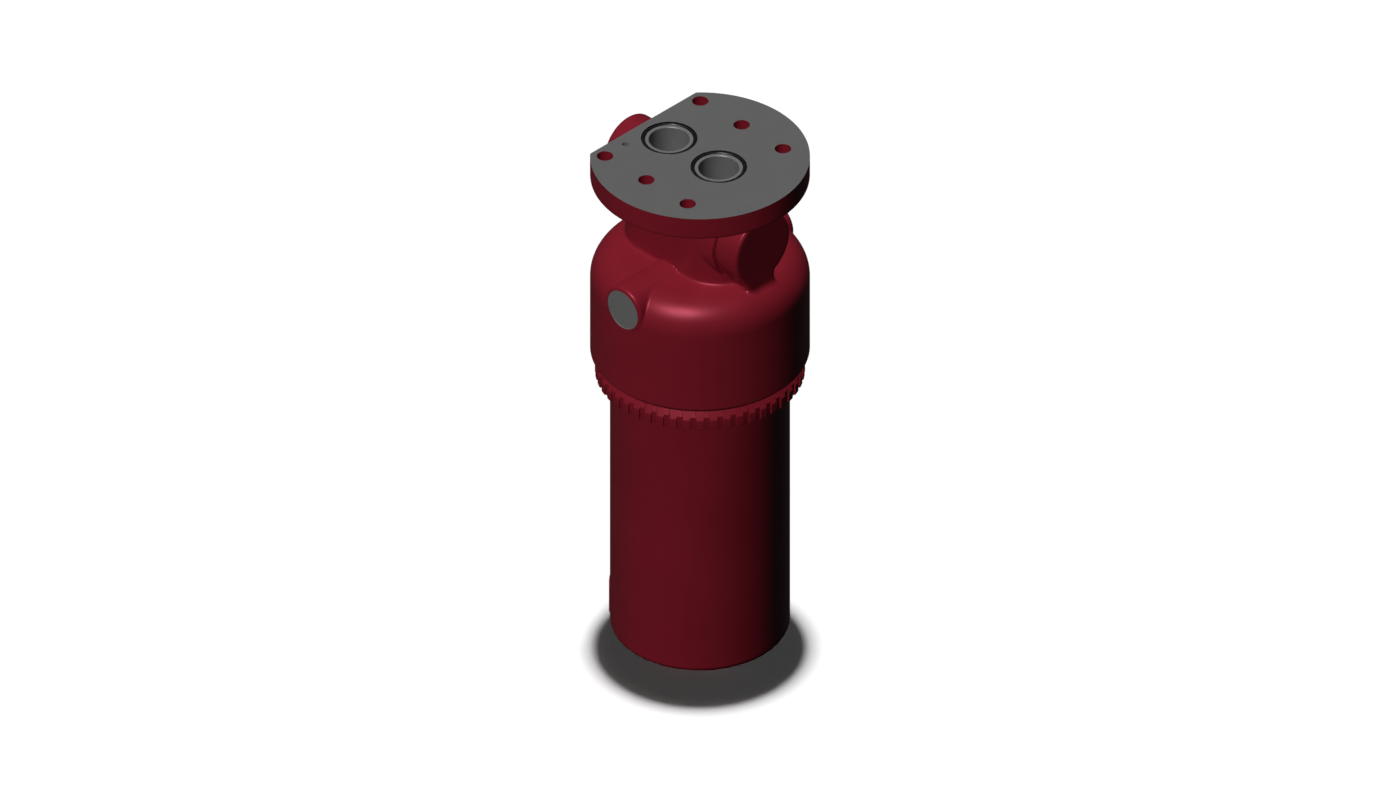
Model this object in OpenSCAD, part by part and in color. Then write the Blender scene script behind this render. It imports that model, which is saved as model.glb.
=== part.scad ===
// Flange-mounted hydraulic pressure filter: cast head, screw-in bowl, pleated element and bypass valve.
// The origin is the centre of the bolt pattern on the mounting face. Z is up and the bowl hangs below.

/* [Mounting flange] */
// Diameter of the flange
flange_d = 160; // [156:1:168]
// Thickness of the flange
flange_t = 18; // [15:0.5:22]
// Distance from the body axis to the flat on the flange
flange_flat = 58.5; // [57:0.5:64]
// Chamfer round the flange's edges
flange_chamfer = 0.8; // [0.4:0.1:1.5]
// Distance from the bolt pattern's centre to the body axis
axis_offset = 6.2; // [5:0.1:7.5]
// Diameter of the bolt holes
bolt_hole_d = 12; // [9:0.5:13]
// Spacing of the bolt holes along a row
bolt_pitch = 42.5; // [41:0.5:44]
// Spacing of the two rows of bolt holes
bolt_rows = 98; // [94:1:102]
// Diameter of the locating pin's hole
pin_hole_d = 5; // [4:0.5:7]
// Depth of the locating pin's hole
pin_hole_depth = 10; // [6:1:14]
// Distance of the locating pin's hole from the port line
pin_hole_y = 28; // [26:0.5:32]

/* [Ports] */
// Spacing of the two ports
port_pitch = 51; // [49:0.5:54]
// Diameter of each port
port_d = 31.5; // [31:0.5:32]
// Depth to which each port is bored out
port_depth = 18; // [12:0.5:18]
// Diameter of the cored passage under each port
passage_d = 30; // [26:0.5:30]
// Chamfer round each port's mouth
port_chamfer = 1.1; // [0.5:0.1:1.5]
// Inner diameter of the groove for a port's O-ring
port_groove_d = 35; // [34.5:0.1:36]
// Section diameter of a port's O-ring
port_ring_cs = 2.9; // [2.4:0.1:3.2]

/* [Head casting] */
// Radius of the neck round each port
neck_r = 32; // [30:0.5:33]
// Height of the neck between the flange and the dome
neck_h = 65; // [62:1:72]
// Fillet round the neck's foot on the dome
foot_r = 3; // [1:0.5:4]
// Diameter of the head's barrel
head_d = 160; // [158:1:168]
// Radius of the dome's shoulder
dome_r = 23.5; // [18:0.5:25]
// Height of the barrel's straight side
barrel_h = 67; // [64:1:76]
// Chamfer at the barrel's lower rim
rim_chamfer = 1; // [0.5:0.1:1.5]

/* [Inlet boss] */
// Diameter of the boss over the inlet gallery
inlet_boss_d = 56; // [50:1:60]
// Depth of the inlet boss's axis below the mounting face
inlet_boss_depth = 50; // [47:0.5:53]
// Distance from the body axis to the inlet boss's end face
inlet_boss_reach = 65; // [63:0.5:72]
// Width of the rib under the inlet boss
rib_w = 25; // [20:1:30]
// Rounding of the bosses' and the rib's edges
boss_edge_r = 2.5; // [1:0.5:3.5]

/* [Bypass boss] */
// Diameter of the boss round the bypass valve
bypass_boss_d = 50; // [44:1:50]
// Depth of the bypass valve's axis below the mounting face
bypass_depth = 26.5; // [26.5:0.5:29]
// How far the bypass boss's end face lies inside the barrel's side
bypass_boss_inset = 5.5; // [0:0.5:6]

/* [Indicator bosses] */
// Diameter of each boss for a clogging indicator
indicator_d = 36.6; // [32:0.2:38]
// Depth of the indicator bosses' axis below the mounting face
indicator_depth = 97.5; // [96:0.5:100]
// Distance from the body axis to an indicator boss's machined face
indicator_reach = 79.5; // [79:0.5:84]
// Rounding round an indicator boss's machined face
indicator_edge_r = 3; // [1:0.5:4]

/* [Head passages] */
// Diameter of the inlet gallery inside its boss
gallery_d = 30; // [24:1:31]
// Diameter of the passage from the inlet gallery down to the chamber
drop_d = 22; // [18:1:22]
// Distance of that passage from the body axis
drop_offset = 40; // [38:0.5:41]
// Diameter of the outlet passage and of the spigot's bore
outlet_d = 28; // [22:1:29]
// Depth at which the outlet passage starts to lean towards the body axis
lean_depth = 60; // [56:1:64]
// How far a cored bend stands out past the passages that it joins
bend_bulge = 0.5; // [0.3:0.1:1]
// Thickness of the head between the dome's top and the chamber
roof_t = 14; // [12:0.5:16]
// Diameter of the chamber above the bowl
chamber_d = 124; // [120:1:126]
// Rounding of the chamber's upper corner
chamber_r = 8; // [4:0.5:8]
// Wall thickness of the spigot that carries the element
spigot_wall = 6; // [4:0.5:7]
// Length of the spigot below the chamber's roof
spigot_len = 38; // [36:0.5:44]

/* [Bowl] */
// Outer diameter of the bowl
bowl_d = 131; // [128:1:134]
// Wall thickness of the bowl
bowl_wall = 9; // [8:0.5:11]
// Length of the bowl below the head's rim
bowl_reach = 241; // [160:1:420]
// Thickness of the bowl's base
bowl_base_t = 14; // [12:0.5:18]
// Rounding of the bowl's lower outer edge
bowl_edge_r = 5; // [3:0.5:8]
// Rounding of the bowl's inner corner
bowl_floor_r = 12; // [8:0.5:14]
// Outer diameter of the serrated collar
collar_d = 153; // [150:1:158]
// Diameter of the collar's sloping top where it meets the head
collar_top_d = 141; // [140:0.5:144]
// Height of the collar's sloping top
collar_slope_h = 8.6; // [6:0.1:11]
// Height of the collar's teeth
tooth_h = 8.5; // [6:0.5:12]
// Number of teeth round the collar
tooth_count = 48; // [36:1:60]
// Width of each gap between teeth
tooth_gap_w = 4.8; // [3.5:0.1:5.5]
// Depth of each gap between teeth
tooth_gap_depth = 2; // [1.5:0.1:3]

/* [Bowl thread and seal] */
// Diameter of the bowl's thread
thread_d = 138; // [137:0.5:139]
// Length of the bowl's thread
thread_len = 21; // [18:0.5:24]
// Depth of the relief below the thread
relief_depth = 3; // [2:0.5:3.5]
// Height of the relief, and of the thread's run-out in the head
relief_h = 3; // [2:0.5:4]
// Diameter of the plain land that carries the bowl's seal
land_d = 130; // [129:0.5:131]
// Length of that land
land_len = 26; // [24:0.5:30]
// Distance from the land's lower end to the seal groove
groove_up = 7; // [4:0.5:10]
// Section diameter of the bowl's O-ring
bowl_ring_cs = 4.2; // [3.4:0.1:4.6]
// Wall thickness behind the bowl's seal groove
groove_wall = 4.2; // [3.5:0.1:5]
// Thickness of the bowl's backup ring
backup_t = 2; // [1.5:0.1:3]

/* [Hexagon and drain] */
// Width across flats of the hexagon under the bowl
hex_af = 36; // [32:1:41]
// Height of the hexagon
hex_h = 23; // [22:0.5:28]
// Thread diameter of the drain plug
drain_d = 14; // [12:1:16]
// Collar diameter of the drain plug
drain_collar_d = 19; // [18:0.5:21]
// Collar thickness of the drain plug
drain_collar_t = 3; // [2:0.5:4]
// Thread length of the drain plug
drain_len = 12; // [10:0.5:14]
// Diameter of the drain hole into the bowl
drain_hole_d = 8; // [5:0.5:9]
// How far the drain plug lies inside the hexagon
drain_inset = 0.6; // [0.3:0.1:1.5]
// Width across flats of the drain plug's socket
drain_socket_af = 6; // [5:0.5:7]

/* [Filter element] */
// Outer diameter of the element's end caps
element_d = 92; // [86:1:98]
// Sheet thickness of the end caps
cap_t = 2; // [1:0.5:3]
// Height of the end caps' turned rims
cap_rim_h = 8; // [5:0.5:12]
// Height of the top cap's collar round the spigot
cap_collar_h = 12; // [10:0.5:16]
// Wall thickness of that collar
cap_collar_wall = 6; // [5:0.5:8]
// How far the spigot passes through the top cap
spigot_through = 4; // [3:0.5:6]
// Section diameter of the element's O-ring
element_ring_cs = 2.8; // [2:0.1:3.2]
// Free space under the element
element_floor_gap = 12; // [6:1:24]
// Outer diameter of the perforated core tube
core_d = 48; // [46:1:52]
// Wall thickness of the core tube
core_wall = 1; // [0.8:0.1:1.5]
// Wall thickness of the perforated outer wrap
wrap_wall = 0.6; // [0.5:0.1:1]
// Diameter of the core tube's holes
core_hole_d = 6; // [4:0.5:8]
// Diameter of the outer wrap's holes
wrap_hole_d = 9; // [6:0.5:10]
// Number of holes in each row round the core tube
core_holes = 6; // [4:1:10]
// Number of holes in each row round the outer wrap
wrap_holes = 10; // [6:1:14]
// Spacing of the rows of holes
hole_pitch = 22; // [18:0.5:28]
// Number of pleats
pleat_count = 48; // [40:1:52]
// Thickness of the pleated media
media_t = 1; // [0.6:0.1:1.1]
// Half of the gap left inside a folded pleat
fold_gap = 0.2; // [0.1:0.05:0.3]

/* [Bypass valve] */
// Diameter of the bore for the valve
valve_bore_d = 16; // [15:0.5:16]
// Length of the valve's seat
seat_len = 14; // [12:0.5:16]
// How far the seat stands towards the outlet from the web's middle
seat_out = 8.5; // [8:0.1:9]
// Bore of the seat
seat_bore_d = 10; // [8:0.5:11]
// Width of the seat's sloping face
seat_slope = 2; // [1.5:0.1:2.2]
// Thickness of the valve cone's rim
poppet_rim_t = 2.5; // [1.5:0.5:3]
// Diameter of the valve's stem
stem_d = 5; // [4:0.5:5.5]
// Distance between the spring plate on the stem and the plug's inner end
spring_room = 9.8; // [8:0.1:11]
// Thickness of the spring plate
plate_t = 2.5; // [1.5:0.5:3]
// Opening travel of the valve
valve_travel = 4; // [3:0.5:4.5]
// Wire diameter of the valve's spring
wire_d = 1.4; // [1:0.1:1.5]
// Turns of the valve's spring
spring_turns = 5; // [4:0.5:6]
// Thread diameter of the valve's plug
plug_d = 22; // [20:1:24]
// Length of the plug's thread
plug_len = 11; // [10:0.5:12]
// Depth of the spring's pocket in the plug
plug_pocket = 5; // [4:0.5:6]
// Length of the guide sleeve in front of the pocket's floor
guide_len = 8; // [7:0.5:9]
// Wall thickness of the guide sleeve
guide_wall = 1.6; // [1:0.1:1.8]
// Depth of the guide bore past the pocket's floor
guide_depth = 4; // [3:0.5:4.5]
// Collar diameter of the plug
plug_collar_d = 28; // [27:1:32]
// Collar thickness of the plug
plug_collar_t = 4; // [3:0.5:5]
// Width across flats of the plug's socket
plug_socket_af = 10; // [8:1:12]
// Thickness of the washers under the plugs
washer_t = 1.5; // [1:0.1:2]

/* [Type plate] */
// Height of the plate on the bowl
type_plate_h = 24.5; // [16:0.5:36]
// Angle that the plate covers round the bowl
type_plate_angle = 50; // [20:1:80]
// Direction of the plate's forward edge, seen from above
type_plate_edge = 229; // [180:1:270]
// Thickness of the plate
type_plate_t = 0.7; // [0.5:0.1:1.2]
// Height of the plate above the bowl's base
type_plate_up = 10.5; // [8:0.5:40]

/* [Fits] */
// Radial clearance of parts that stay put
fit_gap = 0.05; // [0.02:0.01:0.1]
// Radial clearance of the bowl's thread, the seal land and the valve's guide
run_gap = 0.1; // [0.06:0.01:0.15]
// Clearance round seals in their grooves
seal_gap = 0.1; // [0.05:0.01:0.15]
// Clearance between faces that part when the bowl or the valve moves
face_gap = 0.3; // [0.2:0.05:0.5]

/* [Hidden] */
$fn = 96;
eps = 0.5;
foot_sink = 0.2;
z_dome = -(flange_t + neck_h);
z_foot_top = z_dome + foot_r - foot_sink;
z_rim = z_dome - dome_r - barrel_h;
z_roof = z_dome - roof_t;
z_spigot = z_roof - spigot_len;
spigot_r = outlet_d / 2 + spigot_wall;
// Levels of the joint between head and bowl
z_thread = z_rim + relief_h;
z_thread_top = z_thread + thread_len;
thread_step = (thread_d - land_d) / 2;
z_land = z_thread_top + thread_step;
z_bowl_top = z_land + land_len;
z_groove = z_land + groove_up;
bore_r = land_d / 2 + run_gap;
groove_floor_r = bore_r - bowl_ring_cs - 2 * seal_gap;
z_bowl_ring = z_groove + backup_t + 2 * seal_gap + bowl_ring_cs / 2;
z_groove_top = z_bowl_ring + bowl_ring_cs / 2 + seal_gap;
// Levels of the bowl
z_collar = z_rim - face_gap;
z_teeth = z_collar - collar_slope_h;
z_collar_low = z_teeth - tooth_h;
z_base = z_rim - bowl_reach;
z_foot = z_base - hex_h;
z_floor = z_base + bowl_base_t;
bowl_inner_r = bowl_d / 2 - bowl_wall;
z_drain_seat = z_foot + drain_inset + drain_collar_t + washer_t;
// Levels of the element
z_cap = z_spigot + spigot_through;
z_pleats = z_cap - cap_t;
z_pleats_low = z_floor + element_floor_gap + cap_t;
pleats_len = z_pleats - z_pleats_low;
wrap_r = element_d / 2 - cap_t / 2 - fit_gap;
pleat_out_r = wrap_r - wrap_wall - fit_gap;
pleat_in_r = core_d / 2 + fit_gap;
cap_bore_r = spigot_r + run_gap;
// Places along the bypass valve, counted outwards from the web's middle
boss_end = head_d / 2 - bypass_boss_inset - axis_offset;
plug_in = boss_end - plug_len;
plate_out = plug_in - spring_room - plate_t;
pocket_floor = plug_in + plug_pocket;
stem_end = pocket_floor + guide_depth - valve_travel - face_gap;
spring_r = valve_bore_d / 2 - wire_d / 2 - 1;

// Moves a shape from the bowl's own axis to its place beside the bolt pattern.
module on_body_axis() translate([axis_offset, 0, 0]) children();

// Turns a shape that stands on Z so that it points from the web's middle out through the bypass boss.
module on_valve_axis() translate([0, 0, -bypass_depth]) rotate([0, -90, 0]) children();

// Outline of a round bar of height h with its outer top edge rounded, for turning about Z.
module bar_profile(r, h, edge) {
    square([r - edge, h]);
    square([r, h - edge]);
    translate([r - edge, h - edge]) circle(edge);
}

module rounded_bar(r, h, edge) rotate_extrude() bar_profile(r, h, edge);

// A tube of height h from inner radius r1 to outer radius r2.
module tube(r1, r2, h) difference() {
    cylinder(r = r2, h = h);
    translate([0, 0, -eps]) cylinder(r = r1, h = h + 2 * eps);
}

// A ring of round section lying flat at height z.
module o_ring(mean_r, cs) rotate_extrude() translate([mean_r, 0]) circle(cs / 2, $fn = 32);

module hexagon(af, h) cylinder(r = af / 2 / cos(30), h = h, $fn = 6);

// Round holes through a tube's wall, in staggered rows along Z.
module wall_holes(r, wall, len, hole_d, holes_round) {
    rows = floor((len - hole_pitch) / hole_pitch) + 1;
    first = (len - (rows - 1) * hole_pitch) / 2;
    for (row = [0 : rows - 1], i = [0 : holes_round - 1])
        rotate([0, 0, 360 * (i + (row % 2) / 2) / holes_round])
            translate([r - 2 * wall, 0, first + row * hole_pitch]) rotate([0, 90, 0])
                cylinder(d = hole_d, h = 3 * wall);
}

/* Head: the casting's outer form */

module flange() {
    r = flange_d / 2;
    difference() {
        on_body_axis() rotate_extrude() polygon([
            [0, -flange_t],
            [r - flange_chamfer, -flange_t],
            [r, flange_chamfer - flange_t],
            [r, -flange_chamfer],
            [r - flange_chamfer, 0],
            [0, 0]]);
        translate([axis_offset - flange_flat - flange_d, -flange_d / 2, -flange_t - eps])
            cube([flange_d, flange_d, flange_t + 2 * eps]);
    }
}

// The neck joins both ports' walls and runs down into the dome.
module neck() {
    low = z_dome - dome_r / 2;
    translate([0, 0, low]) {
        for (side = [-1, 1]) translate([side * port_pitch / 2, 0, 0])
            cylinder(r = neck_r, h = -flange_t / 2 - low);
        translate([-port_pitch / 2, -neck_r, 0]) cube([port_pitch, 2 * neck_r, -flange_t / 2 - low]);
    }
}

// One flank of the neck's foot: a fillet laid in short flats, then a skirt that sinks into the dome.
function foot_flank(side) = concat(
    [for (a = [0 : 18 : 90]) [side * (neck_r + foot_r * (1 - cos(a))), z_foot_top - foot_r * sin(a)]],
    [[side * (neck_r + 2 * foot_r), z_dome - 2 * foot_r]]);

function backwards(list) = [for (i = [len(list) - 1 : -1 : 0]) list[i]];

module neck_foot() {
    for (side = [-1, 1]) translate([side * port_pitch / 2, 0, 0])
        rotate_extrude() polygon(concat(
            [[0, z_foot_top]], foot_flank(1), [[0, z_dome - 2 * foot_r]]));
    translate([-port_pitch / 2, 0, 0]) rotate([90, 0, 90]) linear_extrude(port_pitch)
        polygon(concat(foot_flank(1), backwards(foot_flank(-1))));
}

module dome_and_barrel() {
    on_body_axis() translate([0, 0, z_rim]) difference() {
        rounded_bar(head_d / 2, z_dome - z_rim, dome_r);
        rotate_extrude() polygon([
            [head_d / 2 - rim_chamfer, -eps],
            [head_d / 2 - rim_chamfer, 0],
            [head_d / 2, rim_chamfer],
            [head_d / 2 + eps, rim_chamfer],
            [head_d / 2 + eps, -eps]]);
    }
}

module inlet_boss() {
    start = port_pitch / 2;
    reach = axis_offset + inlet_boss_reach - start;
    translate([start, 0, -inlet_boss_depth]) rotate([0, 90, 0])
        rounded_bar(inlet_boss_d / 2, reach, boss_edge_r);
    translate([start, 0, z_dome - dome_r / 2])
        linear_extrude(-inlet_boss_depth - z_dome + dome_r / 2) rib_outline(reach);
}

module rib_outline(reach) {
    translate([0, -rib_w / 2]) square([reach - boss_edge_r, rib_w]);
    translate([0, -rib_w / 2 + boss_edge_r]) square([reach, rib_w - 2 * boss_edge_r]);
    for (side = [-1, 1]) translate([reach - boss_edge_r, side * (rib_w / 2 - boss_edge_r)])
        circle(boss_edge_r);
}

module bypass_boss() {
    start = port_pitch / 2;
    on_valve_axis() translate([0, 0, start])
        rounded_bar(bypass_boss_d / 2, boss_end - start, boss_edge_r);
}

module indicator_bosses() {
    on_body_axis() for (side = [-1, 1]) translate([0, 0, -indicator_depth]) rotate([side * 90, 0, 0])
        rounded_bar(indicator_d / 2, indicator_reach, indicator_edge_r);
}

/* Head: what is drilled and turned out of the casting */

module bolt_holes() {
    for (i = [-1 : 1], side = [-1, 1]) translate([i * bolt_pitch, side * bolt_rows / 2, -flange_t - eps])
        cylinder(d = bolt_hole_d, h = flange_t + 2 * eps);
}

module pin_hole() {
    translate([-bolt_pitch, -pin_hole_y, -pin_hole_depth])
        cylinder(d = pin_hole_d, h = pin_hole_depth + eps);
}

// One port's mouth: its bore, its chamfer and the groove for its O-ring.
module port_mouth() {
    translate([0, 0, -port_depth]) cylinder(d = port_d, h = port_depth + eps);
    translate([0, 0, -port_chamfer])
        cylinder(r1 = port_d / 2, r2 = port_d / 2 + port_chamfer + eps, h = port_chamfer + eps);
    groove_depth = port_ring_cs + 2 * seal_gap;
    translate([0, 0, -groove_depth])
        tube(port_groove_d / 2, port_groove_d / 2 + groove_depth, groove_depth + eps);
}

module bend(d) sphere(r = d / 2 + bend_bulge);

// The inlet runs down, out into the gallery and down again outside the element.
module inlet_passage() {
    drop_x = axis_offset + drop_offset;
    translate([port_pitch / 2, 0, -inlet_boss_depth]) {
        cylinder(d = passage_d, h = inlet_boss_depth + eps);
        bend(max(passage_d, gallery_d));
    }
    translate([port_pitch / 2, 0, -inlet_boss_depth]) rotate([0, 90, 0])
        cylinder(d = gallery_d, h = drop_x - port_pitch / 2);
    translate([drop_x, 0, -inlet_boss_depth]) bend(gallery_d);
    translate([drop_x, 0, z_roof - chamber_r])
        cylinder(d = drop_d, h = -inlet_boss_depth - z_roof + chamber_r);
}

// The outlet comes up the spigot and leans across to its port.
module outlet_passage() {
    run = axis_offset + port_pitch / 2;
    lean_end = -z_roof + outlet_d / 4;
    drop = lean_end - lean_depth;
    translate([-port_pitch / 2, 0, -lean_depth]) {
        cylinder(d = passage_d, h = lean_depth + eps);
        bend(passage_d);
        rotate([0, 180 - atan2(run, drop), 0]) cylinder(d = outlet_d, h = norm([run, drop]));
    }
    on_body_axis() translate([0, 0, -lean_end]) bend(outlet_d);
    on_body_axis() translate([0, 0, z_spigot - eps]) cylinder(d = outlet_d, h = -lean_end - z_spigot + eps);
}

// The socket for the bowl, with the chamber above it, round the spigot that is left standing.
module bowl_socket() {
    bore_top = z_bowl_top + relief_h;
    mouth_r = thread_d / 2 + run_gap;
    z_cone = z_thread_top + relief_h;
    on_body_axis() difference() {
        union() {
            translate([0, 0, z_rim]) rounded_bar(chamber_d / 2, z_roof - z_rim, chamber_r);
            translate([0, 0, z_rim - eps]) rotate_extrude() polygon([
                [0, 0],
                [mouth_r, 0],
                [mouth_r, z_cone - z_rim + eps],
                [bore_r, z_cone + mouth_r - bore_r - z_rim + eps],
                [bore_r, bore_top - z_rim + eps],
                [0, bore_top - z_rim + eps]]);
        }
        translate([0, 0, z_spigot]) cylinder(r = spigot_r, h = spigot_len + eps);
    }
}

// Bore for the valve: wide from the outlet's side up to the seat's far end, then the seat's own bore.
module valve_bore() {
    on_valve_axis() {
        seat_in = seat_out - seat_len;
        translate([0, 0, seat_in]) cylinder(d = valve_bore_d, h = boss_end - seat_in + eps);
        translate([0, 0, -port_pitch / 2]) cylinder(d = seat_bore_d, h = port_pitch / 2);
        translate([0, 0, plug_in]) cylinder(r = plug_d / 2 + fit_gap, h = plug_len + eps);
    }
}

module filter_head() {
    color("firebrick") difference() {
        union() {
            flange();
            neck();
            neck_foot();
            dome_and_barrel();
            inlet_boss();
            bypass_boss();
            indicator_bosses();
        }
        bolt_holes();
        pin_hole();
        for (side = [-1, 1]) translate([side * port_pitch / 2, 0, 0]) port_mouth();
        bowl_socket();
        inlet_passage();
        outlet_passage();
        valve_bore();
    }
}

/* Seals of the ports */

module port_o_ring(side) {
    half = port_ring_cs / 2;
    translate([side * port_pitch / 2, 0, -half - seal_gap])
        o_ring(port_groove_d / 2 + half + seal_gap, port_ring_cs);
}

module inlet_port_o_ring() color("dimgray") port_o_ring(1);

module outlet_port_o_ring() color("dimgray") port_o_ring(-1);

/* Bowl */

// Outer outline of the bowl, from its base up to the end of the seal land.
module bowl_outline() {
    r = bowl_d / 2;
    translate([0, z_base + bowl_edge_r]) square([r, z_collar_low - z_base]);
    translate([0, z_base]) square([r - bowl_edge_r, bowl_edge_r + eps]);
    translate([r - bowl_edge_r, z_base + bowl_edge_r]) circle(bowl_edge_r);
    thread_r = thread_d / 2;
    relief_r = thread_r - relief_depth;
    polygon([
        [0, z_collar_low],
        [collar_d / 2, z_collar_low],
        [collar_d / 2, z_teeth],
        [collar_top_d / 2, z_collar],
        [relief_r, z_collar],
        [relief_r, z_thread],
        [thread_r, z_thread],
        [thread_r, z_thread_top],
        [land_d / 2, z_land],
        [land_d / 2, z_groove],
        [groove_floor_r, z_groove],
        [groove_floor_r, z_groove_top],
        [land_d / 2, z_groove_top],
        [land_d / 2, z_bowl_top - backup_t],
        [land_d / 2 - backup_t, z_bowl_top],
        [0, z_bowl_top]]);
}

// Inner outline of the bowl, open at its top. The bore above the collar follows the seal groove.
module bowl_hollow_outline() {
    translate([0, z_floor]) square([bowl_inner_r - bowl_floor_r, z_collar_low - z_floor]);
    translate([0, z_floor + bowl_floor_r]) square([bowl_inner_r, z_collar_low - z_floor - bowl_floor_r]);
    translate([bowl_inner_r - bowl_floor_r, z_floor + bowl_floor_r]) circle(bowl_floor_r);
    translate([0, z_collar_low - eps])
        square([groove_floor_r - groove_wall, z_bowl_top - z_collar_low + 2 * eps]);
}

// Gaps between the collar's teeth. One tooth is centred on the corner between +X and -Y.
module tooth_gaps() {
    for (i = [0 : tooth_count - 1]) rotate([0, 0, -45 + (i + 0.5) * 360 / tooth_count])
        translate([collar_d / 2 - tooth_gap_depth, -tooth_gap_w / 2, z_collar_low - eps])
            cube([tooth_gap_depth + eps, tooth_gap_w, z_collar - z_collar_low + 2 * eps]);
}

// Hexagon for a spanner, its lower corners chamfered by a cone.
module bowl_hexagon() {
    corner_r = hex_af / 2 / cos(30);
    translate([0, 0, z_foot]) intersection() {
        hexagon(hex_af, hex_h + eps);
        union() {
            cylinder(r1 = hex_af / 2, r2 = corner_r + eps, h = (corner_r + eps - hex_af / 2) * tan(30));
            translate([0, 0, (corner_r + eps - hex_af / 2) * tan(30)])
                cylinder(r = corner_r + eps, h = hex_h);
        }
    }
}

module drain_bore() {
    translate([0, 0, z_foot - eps])
        cylinder(r = drain_collar_d / 2 + face_gap, h = z_drain_seat - z_foot + eps);
    translate([0, 0, z_drain_seat - eps]) cylinder(r = drain_d / 2 + fit_gap, h = drain_len + eps);
    translate([0, 0, z_drain_seat]) cylinder(d = drain_hole_d, h = z_floor - z_drain_seat + eps);
}

module filter_bowl() {
    color("firebrick") on_body_axis() difference() {
        union() {
            rotate_extrude() difference() {
                bowl_outline();
                bowl_hollow_outline();
            }
            bowl_hexagon();
        }
        tooth_gaps();
        drain_bore();
    }
}

module type_plate() {
    r = bowl_d / 2 + fit_gap;
    color("brown") on_body_axis() translate([0, 0, z_base + type_plate_up])
        rotate([0, 0, type_plate_edge - type_plate_angle])
            rotate_extrude(angle = type_plate_angle) translate([r, 0]) square([type_plate_t, type_plate_h]);
}

module bowl_o_ring() {
    color("dimgray") on_body_axis() translate([0, 0, z_bowl_ring])
        o_ring(bore_r - seal_gap - bowl_ring_cs / 2, bowl_ring_cs);
}

module bowl_backup_ring() {
    color("ivory") on_body_axis() translate([0, 0, z_groove + seal_gap])
        tube(groove_floor_r + seal_gap, bore_r - seal_gap, backup_t);
}

// A turned plug standing on Z: thread below, collar above, and a hexagon socket in the collar.
module socket_plug(thread_r, thread_h, collar_r, collar_h, socket_af) {
    difference() {
        union() {
            translate([0, 0, -thread_h]) cylinder(r = thread_r, h = thread_h + eps);
            cylinder(r = collar_r, h = collar_h);
        }
        translate([0, 0, collar_h - socket_af / 2]) hexagon(socket_af, socket_af);
    }
}

module drain_plug() {
    color("gainsboro") on_body_axis() translate([0, 0, z_foot + drain_inset + drain_collar_t])
        rotate([180, 0, 0])
            socket_plug(drain_d / 2, drain_len + washer_t - face_gap, drain_collar_d / 2,
                drain_collar_t, drain_socket_af);
}

module drain_plug_seal() {
    color("gold") on_body_axis() translate([0, 0, z_drain_seat - washer_t])
        tube(drain_d / 2 + fit_gap, drain_collar_d / 2, washer_t);
}

/* Filter element */

module element_top_cap() {
    rim_r = element_d / 2;
    groove_h = element_ring_cs + 2 * seal_gap;
    color("silver") on_body_axis() difference() {
        union() {
            translate([0, 0, z_pleats]) cylinder(r = rim_r, h = cap_t);
            translate([0, 0, z_cap - eps])
                cylinder(r = cap_bore_r + cap_collar_wall, h = cap_collar_h + eps);
            translate([0, 0, z_pleats - cap_rim_h]) tube(rim_r - cap_t / 2, rim_r, cap_rim_h + eps);
        }
        translate([0, 0, z_pleats - eps])
            cylinder(r = cap_bore_r, h = cap_t + cap_collar_h + 2 * eps);
        translate([0, 0, z_cap + (cap_collar_h - groove_h) / 2])
            cylinder(r = spigot_r + groove_h, h = groove_h);
    }
}

module element_o_ring() {
    color("dimgray") on_body_axis() translate([0, 0, z_cap + cap_collar_h / 2])
        o_ring(spigot_r + seal_gap + element_ring_cs / 2, element_ring_cs);
}

module element_bottom_cap() {
    rim_r = element_d / 2;
    color("silver") on_body_axis() translate([0, 0, z_pleats_low - cap_t]) {
        cylinder(r = rim_r, h = cap_t);
        tube(rim_r - cap_t / 2, rim_r, cap_t + cap_rim_h);
    }
}

module perforated_tube(r, wall, hole_d, holes_round) {
    on_body_axis() translate([0, 0, z_pleats_low]) difference() {
        tube(r - wall, r, pleats_len);
        wall_holes(r, wall, pleats_len, hole_d, holes_round);
    }
}

module element_core_tube() {
    color("silver") perforated_tube(core_d / 2, core_wall, core_hole_d, core_holes);
}

module element_outer_wrap() {
    color("lightgray") perforated_tube(wrap_r, wrap_wall, wrap_hole_d, wrap_holes);
}

// A closed zigzag round the axis. Tips and valleys are flats of the given half widths.
function zigzag(out_r, out_half, in_r, in_half) = [
    for (i = [0 : pleat_count - 1]) each [
        for (side = [-1, 1]) on_arc(out_r, i * 360 / pleat_count, side * out_half),
        for (side = [-1, 1]) on_arc(in_r, (i + 0.5) * 360 / pleat_count, side * in_half)]];

// The point at distance r in direction a, moved sideways by s.
function on_arc(r, a, s) = [r * cos(a) - s * sin(a), r * sin(a) + s * cos(a)];

module element_pleats() {
    fold = media_t + fold_gap;
    color("wheat") on_body_axis() translate([0, 0, z_pleats_low]) linear_extrude(pleats_len) difference() {
        polygon(zigzag(pleat_out_r, fold, pleat_in_r + media_t, fold_gap));
        polygon(zigzag(pleat_out_r - media_t, fold_gap, pleat_in_r, fold));
    }
}

/* Bypass valve */

module bypass_seat() {
    color("lightsteelblue") on_valve_axis() difference() {
        translate([0, 0, seat_out - seat_len]) tube(seat_bore_d / 2, valve_bore_d / 2 - fit_gap, seat_len);
        translate([0, 0, seat_out - seat_slope])
            cylinder(r1 = seat_bore_d / 2, r2 = seat_bore_d / 2 + seat_slope + eps, h = seat_slope + eps);
    }
}

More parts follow.
